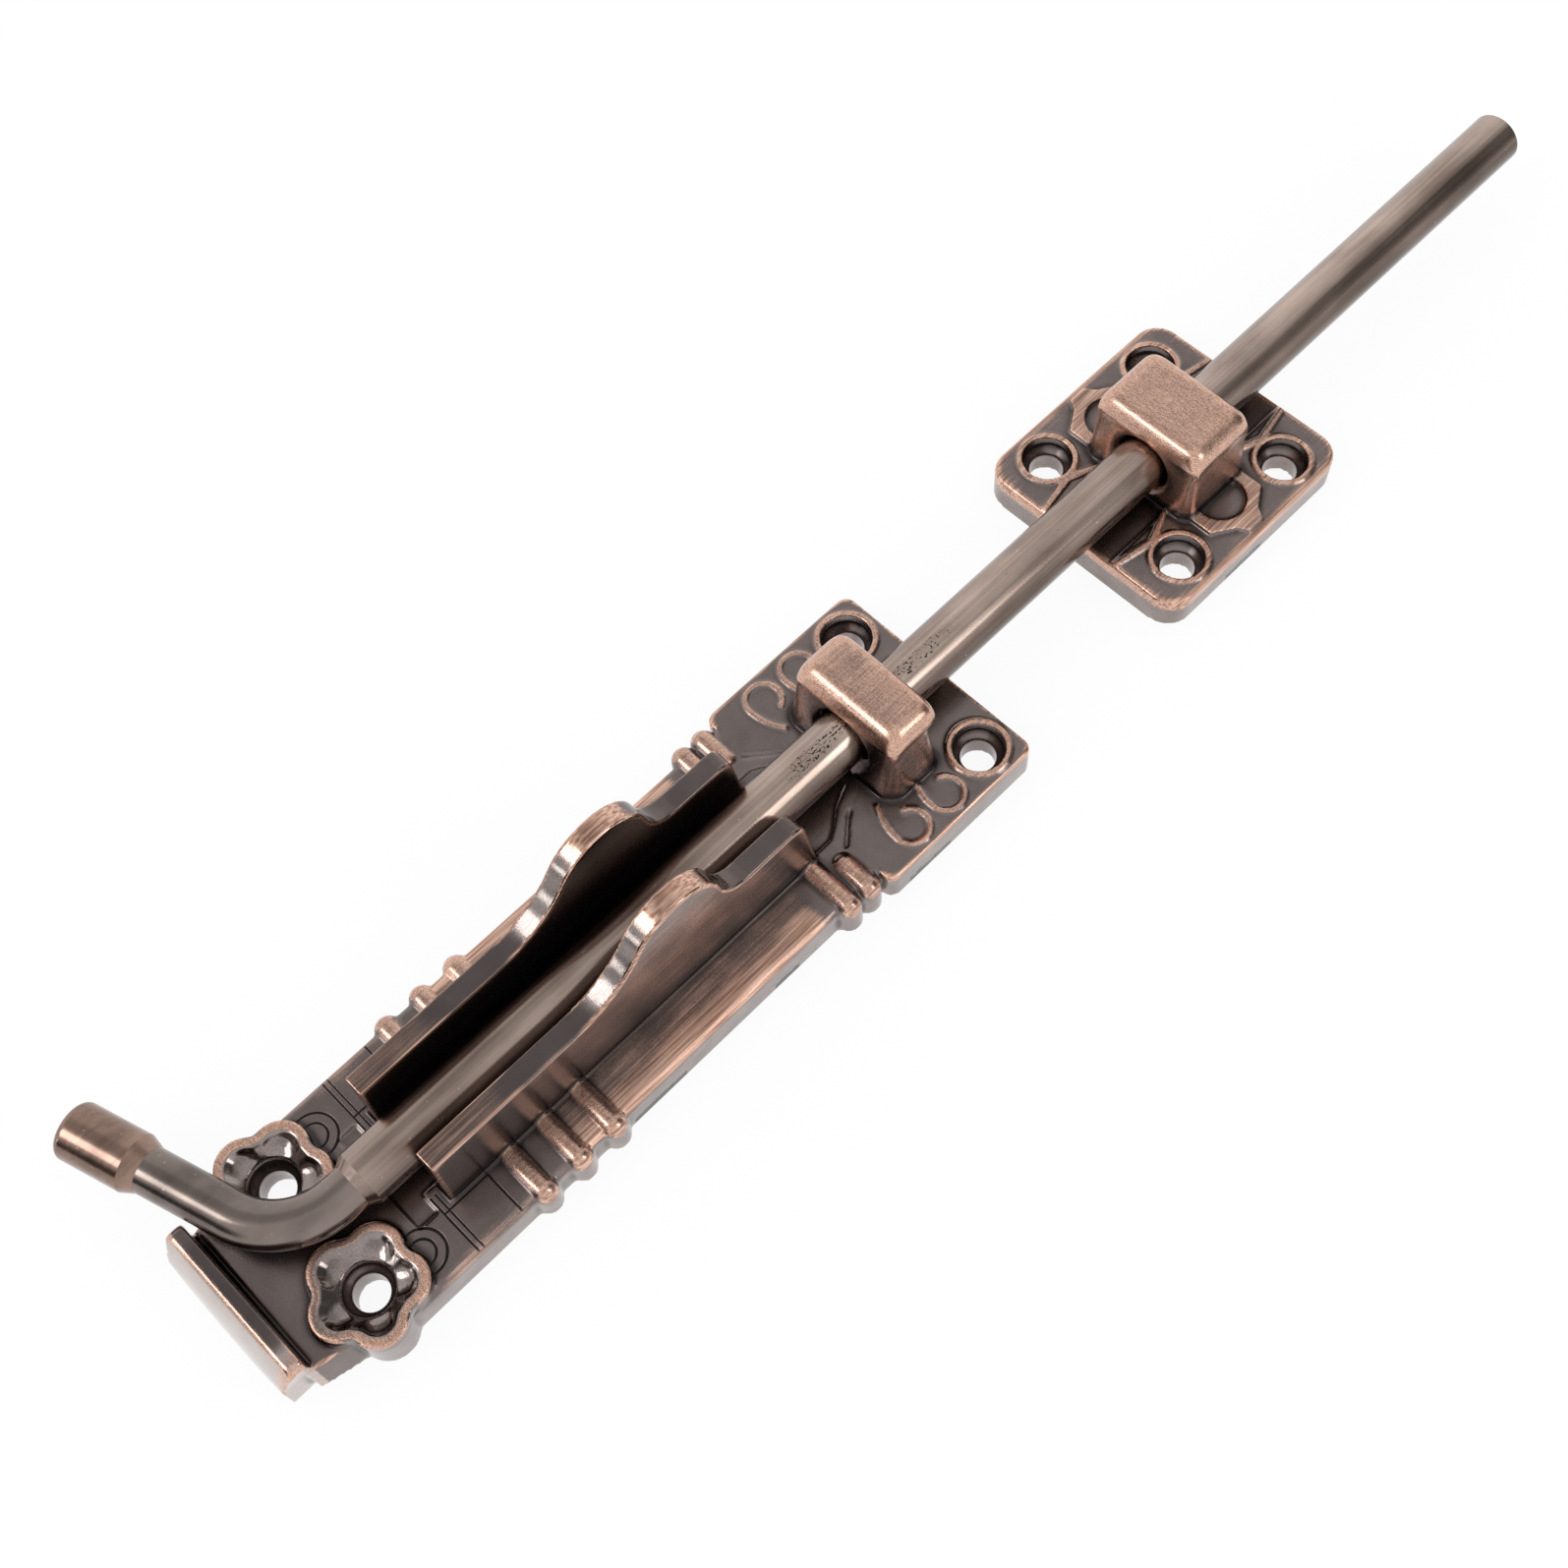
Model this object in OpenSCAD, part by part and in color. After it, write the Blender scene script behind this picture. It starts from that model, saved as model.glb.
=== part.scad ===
// Gate latch: a sliding barrel bolt with a bent handle, its long cast base and its cast keeper.
// Millimetres. The bolt slides along +X, +Z points away from the gate, z = 0 is the mounting plane,
// y = 0 is the bolt's axis in plan, and x = 0 is midway between the base's two front screw holes.

/* [Bolt] */
// Diameter of the round bolt rod
rod_d = 10; // [9:0.1:10.4]
// Height of the bolt's axis over the mounting plane
axis_h = 13.9; // [13.8:0.1:15]
// Place of the bolt's front tip along X
tip_x = 166; // [120:1:180]
// Chamfer round the bolt's front tip
tip_chamfer = 0.9; // [0.3:0.1:2]
// Place of the shoulder where the rod steps down to the handle
shoulder_x = -123.2; // [-124:0.2:-118]
// Length of the cone at that shoulder
shoulder_cone = 1.7; // [0.5:0.1:2]

/* [Handle] */
// Diameter of the bent handle bar
bar_d = 8; // [6:0.1:8.2]
// Radius of the bend at the bar's centre line
bend_r = 14; // [11:0.5:14]
// Angle that the bar is bent through
bend_angle = 72.7; // [70:0.1:80]
// Place where the handle's line meets the bolt's axis
corner_x = -137.9; // [-138:0.1:-136]
// Distance from that place to the knob's cone
knob_start = 26; // [24:0.5:30]
// Length of the knob's cone
knob_cone = 2.5; // [1:0.1:4]
// Diameter of the knob
knob_d = 10; // [9:0.1:12]
// Distance from the meeting place to the knob's end
knob_end = 41; // [36:0.5:50]
// Rounding of the knob's end
knob_round = 1.3; // [0.5:0.1:2]

/* [Base plate] */
// Thickness of the cast plates
plate_t = 7.05; // [6.5:0.05:7.2]
// Half the width of the base's middle part
mid_half = 19.85; // [19.6:0.05:20.4]
// Rounding along the middle part's top edges
mid_round = 1.4; // [0.5:0.1:2]
// Front end of the base
front_x = 6.8; // [6.4:0.1:10]
// Back end of the wide front part
front_x0 = -28.8; // [-29:0.1:-28]
// Half the width of the front part
front_half = 22.6; // [22.2:0.1:24]
// Corner radius of the front part in plan
front_corner = 2.2; // [1.5:0.1:4]
// Rounding along the front part's top edges
front_round = 0.7; // [0.3:0.1:1.2]

/* [Rails] */
// Half the width of the channel between the rails
channel_half = 6.45; // [6:0.05:7]
// Thickness of a rail
rail_w = 4; // [3:0.1:4.5]
// Back end of the rails
rail_x0 = -115.3; // [-117:0.1:-112]
// Height of the rails' flat tops
rail_z = 23.1; // [22:0.1:24]
// Height of the rails' humps
hump_z = 35.6; // [34.6:0.1:36.4]
// Place of the hump's top along X
hump_x = -62.7; // [-66:0.1:-62]
// Radius of the long hollow behind the hump
rise_r = 18; // [16:0.5:20]
// Radius of the hump's back half
hump_back_r = 11.5; // [11:0.1:12.5]
// Radius of the hump's front half
hump_front_r = 8.5; // [8:0.1:9.5]
// Radius of the hollow in front of the hump
fall_r = 6; // [5:0.1:6.5]
// Front end of the rails at their flat top
rail_front_top = -36.3; // [-38:0.1:-36]
// Front end of the rails at the plate
rail_front_foot = -34; // [-34.5:0.1:-33.5]
// Rounding of the rails' front top corner
rail_nose_r = 2.5; // [1:0.1:3]

/* [Ribs] */
// Radius of a bead rib
rib_r = 2.4; // [2:0.05:2.5]
// Rise of the ribs over the plate
rib_rise = 1; // [0.6:0.1:1.4]
// Place of the last of the three back ribs
back_rib_x = -104; // [-105:0.1:-103]
// Distance from rib to rib in the back group
back_rib_pitch = 7.4; // [6.5:0.1:8]
// Half the width over the back ribs
back_rib_half = 21.5; // [21:0.1:22.4]
// Place of the rear rib of the front pair
front_rib_x = -36.2; // [-36.6:0.1:-36]
// Distance from rib to rib in the front pair
front_rib_pitch = 4.6; // [4.2:0.1:4.7]
// Half the width over the front ribs
front_rib_half = 22.1; // [21.5:0.1:22.6]
// Distance from the axis to the inner end of the front rib
front_rib_inner = 11.9; // [11.4:0.1:14]
// Radius of the hollow beside a rib in the plate's side
rib_fillet = 1; // [0.5:0.1:1.2]

/* [Star bosses] */
// Place of the star bosses along X
star_x = -133.5; // [-134:0.1:-133]
// Distance from the axis to a star's centre, which is also its screw hole
star_y = 11.65; // [11.5:0.05:12]
// Distance from a star's centre to the centre of a lobe
lobe_at = 5.2; // [4.8:0.1:5.3]
// Radius of a lobe
lobe_r = 4.9; // [4.4:0.1:5]
// Radius of the hollow between two lobes
valley_r = 2.4; // [1.5:0.1:3]
// Gap between a star's rim and the handle bar that turns over it
star_gap = 0.4; // [0.3:0.1:0.6]
// Width of a star's flat rim
star_rim = 1.7; // [1.2:0.1:2]
// Radius of a star's round pocket
star_pocket_r = 4.4; // [4:0.1:4.6]
// Radius of the base's back screw holes
back_hole_r = 3; // [2.2:0.1:3.2]

/* [End stop] */
// Place of the stop's front face
stop_x = -147.3; // [-148:0.1:-147.3]
// Height of the stop's top
stop_z = 13.2; // [11:0.1:13.6]
// Half the width of the stop's top
stop_half = 15.6; // [14.8:0.1:15.8]
// Length of the stop's top along X
stop_top = 2.6; // [2:0.1:3]
// Back end of the base at the mounting plane
back_x = -153.3; // [-154:0.1:-153]
// Radius of the bow of the stop's back
stop_bow_r = 180; // [120:5:300]

/* [Screw rings] */
// Distance from the axis to the base's front screw holes
front_hole_y = 15.84; // [15.5:0.02:16]
// Distance from the keeper's middle to its screw holes along X
keeper_hole_x = 14.53; // [14:0.01:15]
// Distance from the axis to the keeper's screw holes
keeper_hole_y = 15.74; // [15.5:0.02:16]
// Outer radius of a ring
ring_r = 5.85; // [5.6:0.05:6]
// Inner radius of a ring
ring_inner_r = 4.65; // [4.4:0.05:4.9]
// Height of a ring's top over the mounting plane
ring_z = 7.55; // [7.4:0.05:8]
// Depth of the straight pocket inside a ring
ring_pocket = 1.9; // [1:0.1:2.4]
// Radius of the front and keeper screw holes
screw_hole_r = 3.1; // [2.2:0.1:3.3]
// Slope of the countersinks, measured from the hole's axis
sink_angle = 45; // [40:1:50]

/* [Staples] */
// Running clearance round the bolt, on the radius
bore_clear = 0.5; // [0.3:0.05:0.6]
// Height of a staple's top over the mounting plane
staple_z = 24; // [23:0.1:25]
// Height of the cap's lower edge
cap_z = 20.1; // [19.5:0.1:20.6]
// Half the width of the cap
cap_half = 11.7; // [11:0.1:12.2]
// Rounding of the cap's side edges
cap_round = 3.4; // [2:0.1:3.8]
// Corner radius of the cap in plan
cap_corner = 1.7; // [1:0.1:2.5]
// Step from the cap in to the leg
cap_step = 0.25; // [0.1:0.05:0.5]
// Back edge of the base staple's cap at its lower edge
cap_x0 = -17.2; // [-17.6:0.1:-16.8]
// Front edge of the base staple's cap at its lower edge
cap_x1 = -5.4; // [-6:0.1:-5]
// Lean of the base staple's cap at its back
cap_lean_back = 1.7; // [0.5:0.1:2]
// Lean of the cap at its front
cap_lean_front = 0.4; // [0.1:0.1:1]
// Spread of the base staple's legs at the foot
leg_spread = 1.5; // [0.5:0.1:1.8]
// Corner radius of a leg at its top
leg_corner = 1.5; // [1:0.1:2]

/* [Keeper] */
// Middle of the keeper along X as it stands on the bolt
keeper_x = 67.6; // [60:0.1:100]
// Half the length of the keeper along X
keeper_half_x = 24.1; // [23:0.1:26]
// Half the width of the keeper
keeper_half_y = 22.7; // [22.4:0.1:25]
// Corner radius of the keeper in plan
keeper_corner = 5; // [3:0.1:6]
// Rounding along the keeper's top edge
keeper_round = 0.8; // [0.3:0.1:1.2]
// Half the length of the keeper staple's cap at its lower edge
keeper_cap_half = 7.9; // [7:0.1:8.2]
// Lean of the keeper staple's cap, front and back
keeper_cap_lean = 0.8; // [0.2:0.1:1.2]
// Spread of the keeper staple's legs at the foot
keeper_leg_spread = 0.7; // [0.3:0.1:0.8]

/* [Relief] */
// Radius of the raised wire of the scrolls
wire_r = 0.5; // [0.3:0.05:0.7]
// Radius of a scroll's round part
scroll_r = 3.3; // [3:0.1:3.6]
// Distance from the axis to a scroll's round part
scroll_y = 17.7; // [17.4:0.1:18]
// Radius of a scroll's long tail
tail_r = 12.1; // [10:0.1:14]
// Rise of the horseshoe badges on the keeper
badge_rise = 0.8; // [0.4:0.1:1]
// Rise of the thin ridges on the keeper
ridge_rise = 0.45; // [0.2:0.05:0.8]
// Depth of the grooves and sunk fields
sink_depth = 0.4; // [0.2:0.05:0.6]

/* [Hidden] */
$fn = 64;
// How far a solid runs into its neighbour, or a cut past a surface.
over = 1;
// A hair's breadth that keeps two round stretches from only just touching.
seam = 0.02;
rod_r = rod_d / 2;
bar_r = bar_d / 2;
bore_r = rod_r + bore_clear;
star_z = axis_h - bar_r - star_gap;
bend_run = bend_r * tan(bend_angle / 2);
rail_half = channel_half + rail_w;
rise_run = sqrt(pow(rise_r + hump_back_r, 2) - pow(rail_z + rise_r - hump_z + hump_back_r, 2));
rise_x = hump_x - rise_run;
fall_run = sqrt(pow(fall_r + hump_front_r, 2) - pow(rail_z + fall_r - hump_z + hump_front_r, 2));
fall_x = hump_x + fall_run;

// A rounded rectangle about the origin.
module round_rect(sx, sy, r) {
  square([sx - 2 * r, sy], center = true);
  square([sx, sy - 2 * r], center = true);
  for (i = [-1, 1], j = [-1, 1])
    translate([i * (sx / 2 - r), j * (sy / 2 - r)])
      circle(r);
}

// A plate about the origin with round corners in plan and a round top edge.
module soft_plate(sx, sy, t, corner, edge) {
  linear_extrude(t - edge)
    round_rect(sx, sy, corner);
  linear_extrude(t)
    round_rect(sx - 2 * edge, sy - 2 * edge, corner - edge);
  for (i = [-1, 1]) {
    translate([i * (sx / 2 - edge), 0, t - edge])
      rotate([90, 0, 0])
        cylinder(h = sy - 2 * corner, r = edge, center = true);
    translate([0, i * (sy / 2 - edge), t - edge])
      rotate([0, 90, 0])
        cylinder(h = sx - 2 * corner, r = edge, center = true);
  }
  for (i = [-1, 1], j = [-1, 1])
    translate([i * (sx / 2 - corner), j * (sy / 2 - corner), t - edge])
      rotate_extrude()
        translate([corner - edge, 0])
          circle(edge);
}

// The hole of one screw: a round pocket, a countersink and the through hole.
module screw_well(top, pocket_r, pocket, hole_r) {
  sink = (pocket_r - hole_r) / tan(sink_angle);
  translate([0, 0, -over])
    cylinder(h = top + 2 * over, r = hole_r);
  translate([0, 0, top - pocket])
    cylinder(h = pocket + over, r = pocket_r);
  translate([0, 0, top - pocket - sink])
    cylinder(h = sink, r1 = hole_r, r2 = pocket_r);
}

// The raised ring round one screw.
module screw_ring() {
  soften = 0.25;
  cylinder(h = ring_z - soften, r = ring_r);
  cylinder(h = ring_z, r = ring_r - soften);
}

// A bead rib along +Y that turns down over the plate's side at half the given width.
module bead_rib(x, inner, half) {
  end_y = half - rib_r;
  top_z = plate_t + rib_rise - rib_r;
  translate([x, inner, top_z])
    rotate([-90, 0, 0])
      cylinder(h = end_y - inner, r = rib_r);
  translate([x, end_y, top_z])
    sphere(rib_r);
  translate([x, end_y, 0])
    cylinder(h = top_z, r = rib_r);
}

// The hollows between a rib and the plate's side, in plan.
module rib_hollows(x, half) {
  end_y = half - rib_r;
  rise = mid_half + rib_fillet - end_y;
  run = sqrt(pow(rib_r + rib_fillet, 2) - rise * rise);
  difference() {
    polygon([
      [x - run, mid_half - over], [x - run, mid_half + rib_fillet], [x, end_y],
      [x + run, mid_half + rib_fillet], [x + run, mid_half - over]]);
    for (i = [-1, 1])
      translate([x + i * run, mid_half + rib_fillet])
        circle(rib_fillet);
  }
}

// One lobed star in plan; grow moves the whole outline outwards.
module star(grow) {
  near = lobe_at * cos(36);
  side = lobe_at * sin(36);
  out = near + sqrt(pow(lobe_r + valley_r, 2) - side * side);
  difference() {
    union() {
      circle(lobe_at);
      for (k = [0 : 4])
        rotate(72 * k)
          polygon([[0, 0], [near, -side], [out, 0], [near, side]]);
    }
    for (k = [0 : 4])
      rotate(72 * k)
        translate([out, 0])
          circle(valley_r - grow);
  }
  for (k = [0 : 4])
    rotate(36 + 72 * k)
      translate([lobe_at, 0])
        circle(lobe_r + grow);
}

// What is scooped out of a star inside its rim: five sloping hollows round the screw's pocket.
module star_dish() {
  scoop_r = lobe_r - star_rim;
  scoop_low = 1.9;
  scoop_tilt = 24;
  intersection() {
    translate([0, 0, plate_t - 2 * over])
      linear_extrude(star_z)
        star(-star_rim);
    union() {
      for (k = [0 : 4])
        rotate(36 + 72 * k)
          translate([0, 0, star_z - scoop_low + scoop_r])
            rotate([0, 90 - scoop_tilt, 0])
              translate([0, 0, -scoop_r])
                cylinder(h = 3 * lobe_r, r = scoop_r);
      translate([0, 0, star_z - scoop_low])
        cylinder(h = scoop_low + over, r1 = star_pocket_r, r2 = lobe_at + scoop_r);
    }
  }
}

// The points of an arc about a centre, in short chords of about three degrees.
function arc(center, r, from, to) =
  let (n = ceil(abs(to - from) / 3))
    [for (k = [0 : n]) let (a = from + (to - from) * k / n) center + r * [cos(a), sin(a)]];

// The side view of a rail: a flat, a long hollow, the hump, a short hollow and the nose.
module rail_profile() {
  drop = rail_z - plate_t;
  lean = rail_front_foot - rail_front_top;
  run = sqrt(lean * lean + drop * drop);
  front = atan2(lean, drop);
  nose_x = rail_front_top - rail_nose_r * (run - lean) / drop;
  rise_end = atan2(hump_z - hump_back_r - rail_z - rise_r, rise_run);
  fall_end = atan2(rail_z + fall_r - hump_z + hump_front_r, fall_run);
  polygon(concat(
    [[rail_x0, plate_t - over], [rail_x0, rail_z]],
    arc([rise_x, rail_z + rise_r], rise_r, -90, rise_end),
    arc([hump_x, hump_z - hump_back_r], hump_back_r, 180 + rise_end, 90),
    arc([hump_x, hump_z - hump_front_r], hump_front_r, 90, fall_end),
    arc([fall_x, rail_z + fall_r], fall_r, 180 + fall_end, 270),
    arc([nose_x, rail_z - rail_nose_r], rail_nose_r, 90, front),
    [[rail_front_foot + lean / drop * over, plate_t - over]]));
}

// The middle line of a scroll: a hooked ring that runs out into a long tail.
function scroll_line(hook, tail) = concat(
  [for (k = [0 : 20]) let (a = -hook + (180 + hook) * k / 20) scroll_r * [cos(a), sin(a)]],
  [for (k = [1 : 4]) let (a = 180 + tail * k / 4) [tail_r - scroll_r, 0] + tail_r * [cos(a), sin(a)]]);

// The point beside point i of the line p, at distance w to its left.
function beside(p, i, w) =
  let (d = p[min(i + 1, len(p) - 1)] - p[max(i - 1, 0)]) p[i] + [-d[1], d[0]] * w / norm(d);

// One raised scroll, in two steps so that its wire has a softened top.
module scroll(x) {
  line = scroll_line(65, 33);
  last = len(line) - 1;
  for (step = [[wire_r, 0.5], [0.65 * wire_r, 0.8]])
    translate([x, scroll_y, 0])
      linear_extrude(plate_t + wire_r * step[1]) {
        polygon(concat(
          [for (i = [0 : last]) beside(line, i, step[0])],
          [for (i = [last : -1 : 0]) beside(line, i, -step[0])]));
        for (end = [line[0], line[last]])
          translate(end)
            circle(step[0] + seam);
      }
}

// A staple: spread legs, a stepped cap that leans in, and the bolt's bore with softened rims.
// x0 and x1 are the cap's lower edges; the legs have a spread of their own and a front set-back.
module staple(x0, x1, lean_back, lean_front, spread, set_back) {
  rim = 0.5;
  sx0 = x0 + cap_step;
  sx1 = x1 - cap_step - set_back;
  half = cap_half - cap_step;
  low = plate_t - over;
  low_spread = spread * (cap_z - low) / (cap_z - plate_t);
  difference() {
    union() {
      // The legs: a block whose four sides and corners spread towards the plate.
      translate([0, half - leg_corner, 0])
        rotate([90, 0, 0])
          linear_extrude(2 * (half - leg_corner))
            polygon([
              [sx0 - low_spread, low], [sx0, cap_z], [sx1, cap_z], [sx1 + low_spread, low]]);
      translate([sx0 + leg_corner, 0, 0])
        rotate([90, 0, 90])
          linear_extrude(sx1 - sx0 - 2 * leg_corner)
            polygon([
              [-half - low_spread, low], [-half, cap_z], [half, cap_z], [half + low_spread, low]]);
      for (x = [sx0 + leg_corner, sx1 - leg_corner], s = [-1, 1])
        translate([x, s * (half - leg_corner), low])
          cylinder(h = cap_z - low, r1 = leg_corner + low_spread, r2 = leg_corner);
      // The cap: its side view, its end view and its plan, all three together.
      intersection() {
        translate([0, cap_half, 0])
          rotate([90, 0, 0])
            linear_extrude(2 * cap_half)
              polygon([
                [x0, cap_z], [x0 + lean_back, staple_z], [x1 - lean_front, staple_z], [x1, cap_z]]);
        translate([x0, 0, 0])
          rotate([90, 0, 90])
            linear_extrude(x1 - x0)
              union() {
                translate([-cap_half, cap_z])
                  square([2 * cap_half, staple_z - cap_round - cap_z]);
                translate([-cap_half + cap_round, cap_z])
                  square([2 * (cap_half - cap_round), staple_z - cap_z]);
                for (s = [-1, 1])
                  translate([s * (cap_half - cap_round), staple_z - cap_round])
                    intersection() {
                      circle(cap_round);
                      translate([-cap_round, 0])
                        square([2 * cap_round, cap_round]);
                    }
              }
        translate([(x0 + x1) / 2, 0, 0])
          linear_extrude(staple_z + over)
            round_rect(x1 - x0, 2 * cap_half, cap_corner);
      }
    }
    translate([x0 - spread - over, 0, axis_h])
      rotate([0, 90, 0])
        cylinder(h = x1 - x0 + 2 * spread + 2 * over, r = bore_r);
    translate([sx0 - spread, 0, axis_h])
      rotate([0, 90, 0])
        cylinder(h = spread + rim, r1 = bore_r + rim + spread, r2 = bore_r);
  }
}

// The sloping back stop across the base's end.
module end_stop() {
  foot_half = 14.4;
  belly_r = 22;
  crest_x = stop_x - stop_top;
  chord = sqrt(pow(back_x - crest_x, 2) + stop_z * stop_z);
  sag = sqrt(belly_r * belly_r - chord * chord / 4);
  mid = [(back_x + crest_x) / 2, stop_z / 2];
  belly = [mid[0] + sag * stop_z / chord, mid[1] + sag * (back_x - crest_x) / chord];
  intersection() {
    translate([0, 2 * stop_half, 0])
      rotate([90, 0, 0])
        linear_extrude(4 * stop_half)
          intersection() {
            translate([back_x - over, 0])
              square([stop_x - back_x + over, stop_z]);
            translate(belly)
              circle(belly_r, $fn = 180);
          }
    translate([back_x - over, 0, 0])
      rotate([90, 0, 90])
        linear_extrude(stop_x - back_x + 2 * over)
          polygon([
            [-foot_half, 0], [-foot_half, plate_t], [-stop_half, stop_z - over], [-stop_half + over, stop_z],
            [stop_half - over, stop_z], [stop_half, stop_z - over], [foot_half, plate_t], [foot_half, 0]]);
    translate([back_x + stop_bow_r, 0, 0])
      cylinder(h = stop_z + over, r = stop_bow_r, $fn = 720);
  }
}

// The plan and thickness of the base without its raised parts.
module base_plate() {
  tail_top = 14;
  tail_root = 16.4;
  tail_x = -151;
  root_x = -140;
  side_tilt = 9;
  mid_x0 = -131;
  turn = atan((tail_root - tail_top) / (root_x - tail_x));
  // The front part with its soft top edge, its two back corners cut across.
  difference() {
    translate([(front_x + front_x0) / 2, 0, 0])
      soft_plate(front_x - front_x0, 2 * front_half, plate_t, front_corner, front_round);
    for (s = [-1, 1])
      translate([front_x0 - over, s * (front_half - 1.9 + over), -over])
        rotate(s * 42)
          translate([-4, s > 0 ? 0 : -4, 0])
            cube([8, 4, plate_t + 2 * over]);
  }
  // The long middle part with its round top edges.
  translate([mid_x0, 0, 0])
    rotate([90, 0, 90])
      linear_extrude(front_x0 - mid_x0 + front_corner) {
        translate([-mid_half, 0])
          square([2 * mid_half, plate_t - mid_round]);
        translate([-mid_half + mid_round, 0])
          square([2 * (mid_half - mid_round), plate_t]);
        for (s = [-1, 1])
          translate([s * (mid_half - mid_round), plate_t - mid_round])
            circle(mid_round);
      }
  // The tapering tail with its leaning sides.
  difference() {
    translate([stop_x - over, -mid_half, 0])
      cube([mid_x0 - stop_x + 2 * over, 2 * mid_half, plate_t]);
    for (s = [0, 1])
      mirror([0, s, 0])
        translate([tail_x, tail_top, plate_t])
          rotate([0, 0, turn])
            rotate([side_tilt, 0, 0])
              translate([-mid_half, 0, -2 * plate_t])
                cube([2 * mid_half, mid_half, 3 * plate_t]);
  }
}

// The grooves and sunk fields of the base's upper face, for one side.
module base_sinks() {
  sunk = plate_t - sink_depth;
  trough_x0 = -122;
  pad_x0 = -118;
  // The trough under the bolt, up to the swept line in front of the rails.
  translate([0, 0, sunk])
    linear_extrude(over) {
      polygon([
        [trough_x0, -over], [trough_x0, 10.3], [pad_x0, 10.3], [pad_x0, channel_half],
        [rail_x0 + over, channel_half], [rail_x0 + over, channel_half + over],
        [rail_front_foot - over, channel_half + over], [rail_front_foot - over, 9.8],
        [-30.2, 9.7], [-28.2, 8.6], [-24.6, 5.9], [-20.5, 4.1], [-20.5, -over]]);
      // The swept groove from the front rib towards the staple.
      polygon([
        [-29.6, 12.3], [-28.8, 11.7], [-25, 8.5], [-21.2, 6.7], [-21.3, 7.2], [-24.8, 9.1], [-28.9, 12.8]]);
    }
  // The groove at the foot of the end stop.
  translate([stop_x - over, -over, sunk])
    cube([0.8 + over, 14 + over, over]);
}

// The cast base: plate, ribs, rails, star bosses, end stop, staple, rings and scrolls.
module base_casting() {
  color("#7d6159")
    difference() {
      union() {
        difference() {
          base_plate();
          for (s = [0, 1])
            mirror([0, s, 0])
              base_sinks();
        }
        for (s = [0, 1])
          mirror([0, s, 0]) {
            // The three back ribs and the front pair.
            for (k = [0 : 2]) {
              bead_rib(back_rib_x + k * back_rib_pitch, rail_half - rib_r, back_rib_half);
              linear_extrude(plate_t - mid_round)
                rib_hollows(back_rib_x + k * back_rib_pitch, back_rib_half);
            }
            bead_rib(front_rib_x, rail_half - rib_r, front_rib_half);
            linear_extrude(plate_t - mid_round)
              rib_hollows(front_rib_x, front_rib_half);
            bead_rib(front_rib_x + front_rib_pitch, front_rib_inner + rib_r, front_rib_half);
            translate([front_rib_x + front_rib_pitch, front_rib_inner + rib_r, plate_t + rib_rise - rib_r])
              sphere(rib_r);
            // The rail.
            translate([0, rail_half, 0])
              rotate([90, 0, 0])
                linear_extrude(rail_w)
                  rail_profile();
            // The star boss.
            translate([star_x, star_y, 0])
              linear_extrude(star_z)
                star(0);
            // The ring of the front screw and the two scrolls behind it.
            translate([0, front_hole_y, 0])
              screw_ring();
            scroll(-18.85);
            scroll(-10.3);
          }
        end_stop();
        staple(cap_x0, cap_x1, cap_lean_back, cap_lean_front, leg_spread, 2.1 - cap_step);
      }
      for (s = [0, 1])
        mirror([0, s, 0]) {
          translate([star_x, star_y, 0]) {
            star_dish();
            screw_well(star_z - 1.9, star_pocket_r, 1.2, back_hole_r);
          }
          translate([0, front_hole_y, 0])
            screw_well(ring_z, ring_inner_r, ring_pocket, screw_hole_r);
        }
    }
}

// One horseshoe badge on the keeper, opening towards the staple.
module badge() {
  inner_r = 4.9;
  linear_extrude(plate_t + badge_rise)
    difference() {
      polygon([
        [-7.2, 11.5], [-7.2, 16.7], [-3.6, 19], [-3.2, 19.2], [-1.8, 21.3],
        [1.8, 21.3], [3.2, 19.2], [3.6, 19], [7.2, 16.7], [7.2, 11.5]]);
      translate([0, 12.9])
        circle(inner_r);
    }
}

// Two thin ridges from the keeper's edge to a ring and back to the staple.
module ridge() {
  w = 0.9;
  edge_x = keeper_half_x - keeper_round;
  turn_x = keeper_hole_x + 1;
  turn_y = keeper_hole_y - ring_r;
  linear_extrude(plate_t + ridge_rise)
    polygon([
      [edge_x, 8.1], [turn_x, turn_y - w / 2], [9, 7.1], [9, 7.1 + w],
      [turn_x - 1.2, turn_y + w / 2], [turn_x + 1.2, turn_y + w / 2], [edge_x, 8.1 + w]]);
}

// The cast keeper: a soft-edged plate with four screws and a staple like the base's.
module keeper_casting() {
  color("#8a6a5e")
    translate([keeper_x, 0, 0])
      difference() {
        union() {
          difference() {
            soft_plate(2 * keeper_half_x, 2 * keeper_half_y, plate_t, keeper_corner, keeper_round);
            translate([-keeper_half_x - over, -7.6, plate_t - sink_depth])
              cube([2 * keeper_half_x + 2 * over, 15.2, over]);
          }
          for (s = [0, 1])
            mirror([0, s, 0]) {
              badge();
              for (t = [0, 1])
                mirror([t, 0, 0]) {
                  ridge();
                  translate([keeper_hole_x, keeper_hole_y, 0])
                    screw_ring();
                }
            }
          staple(-keeper_cap_half, keeper_cap_half, keeper_cap_lean, keeper_cap_lean, keeper_leg_spread, 0);
        }
        for (i = [-1, 1], j = [-1, 1])
          translate([i * keeper_hole_x, j * keeper_hole_y, 0])
            screw_well(ring_z, ring_inner_r, ring_pocket, screw_hole_r);
      }
}

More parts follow.
